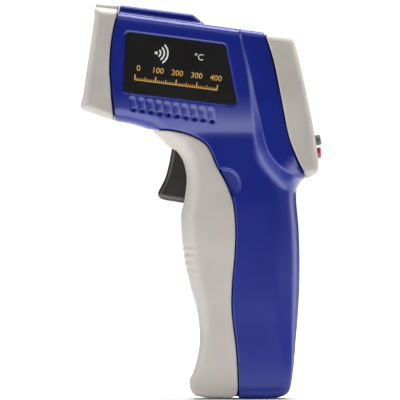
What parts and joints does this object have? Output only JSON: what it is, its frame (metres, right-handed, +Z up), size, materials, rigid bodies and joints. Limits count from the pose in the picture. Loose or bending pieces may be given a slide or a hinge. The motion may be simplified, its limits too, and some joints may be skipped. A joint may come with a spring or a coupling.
{
  "type": "infrared thermometer",
  "caption": "Pistol-grip infrared thermometer with display head, sprung trigger and hinged battery door.",
  "frame": {"origin": "bottom centre of the bounding box, on the surface that the handle's foot stands on", "axes": "-X towards the nose, +Z up, +Y towards the right side"},
  "size_m": [0.0991, 0.043, 0.1626],
  "materials": {
    "battery_case": "satin",
    "black_plastic": "matt",
    "black_rubber": "matt",
    "black_wire": "smooth",
    "blue_plastic": "satin, fine grain",
    "brass": "turned",
    "circuit_board": "green solder mask",
    "clear_plastic": "clear, polished",
    "dark_key": "satin",
    "diffuser": "milky",
    "flex_film": "amber film",
    "foam": "open foam",
    "grey_plastic": "satin, fine grain",
    "infrared_glass": "coated",
    "label_film": "printed film",
    "lcd_glass": "liquid crystal panel",
    "red_key": "satin",
    "red_wire": "smooth",
    "steel": "zinc plated",
    "trigger_plastic": "satin"
  },
  "bodies": {
    "housing": {"left_housing": "blue_plastic", "right_housing": "blue_plastic", "nose_cap": "grey_plastic", "front_plate": "black_plastic", "lens_tube": "black_plastic", "ir_lens": "infrared_glass", "sensor_holder": "black_plastic", "thermopile_sensor": "steel", "sensor_board": "circuit_board", "laser_module": "brass", "laser_window": "clear_plastic", "display_bezel": "grey_plastic", "display_window": "clear_plastic", "lcd_panel": "lcd_glass", "lcd_backlight": "diffuser", "zebra_strip_upper": "black_rubber", "zebra_strip_lower": "black_rubber", "display_board": "circuit_board", "key_switch_left": "steel", "key_switch_right": "steel", "key_switch_laser": "steel", "main_board": "circuit_board", "controller_chip": "black_plastic", "buzzer": "black_plastic", "board_screw_1": "steel", "board_screw_2": "steel", "flex_cable": "flex_film", "trigger_pin": "steel", "trigger_switch": "black_plastic", "trigger_spring": "steel", "door_hinge_pin": "steel", "battery": "battery_case", "battery_terminal_positive": "steel", "battery_terminal_negative": "steel", "battery_snap": "black_rubber", "battery_pad": "foam", "battery_lead_red": "red_wire", "battery_lead_black": "black_wire", "housing_screw_1": "steel", "housing_screw_2": "steel", "housing_screw_3": "steel", "housing_screw_4": "steel", "housing_screw_5": "steel", "left_label": "label_film", "right_label": "label_film"},
    "trigger": {"trigger": "trigger_plastic"},
    "switch_plunger": {"trigger_switch_plunger": "red_key"},
    "battery_door": {"battery_door": "grey_plastic"},
    "left_key": {"button_left": "dark_key"},
    "right_key": {"button_right": "dark_key"},
    "laser_key": {"button_laser": "red_key"}
  },
  "joints": [
    {"name": "trigger_swing", "type": "hinge", "parent": "housing", "child": "trigger", "pos_m": [-0.0074, 0, 0.1048], "axis": [0, -1, 0], "range_deg": [0, 8], "stiffness_Nm_per_rad": 0.35, "deforming": ["trigger_spring"]},
    {"name": "switch_press", "type": "slide", "parent": "housing", "child": "switch_plunger", "axis": [1, 0, 0], "range_m": [0, 0.0014]},
    {"name": "battery_door_swing", "type": "hinge", "parent": "housing", "child": "battery_door", "pos_m": [0.0123, 0, 0.0032], "axis": [0, -1, 0], "range_deg": [0, 55]},
    {"name": "left_key_press", "type": "slide", "parent": "housing", "child": "left_key", "axis": [-0.9799, 0, -0.1994], "range_m": [0, 0.0008], "stiffness_N_per_m": 900},
    {"name": "right_key_press", "type": "slide", "parent": "housing", "child": "right_key", "axis": [-0.9799, 0, -0.1994], "range_m": [0, 0.0008], "stiffness_N_per_m": 900},
    {"name": "laser_key_press", "type": "slide", "parent": "housing", "child": "laser_key", "axis": [-0.9799, 0, -0.1994], "range_m": [0, 0.0008], "stiffness_N_per_m": 900}
  ],
  "couplings": [
    {"joint": "switch_press", "follows": "trigger_swing", "m_per_rad": 0.0093}
  ]
}
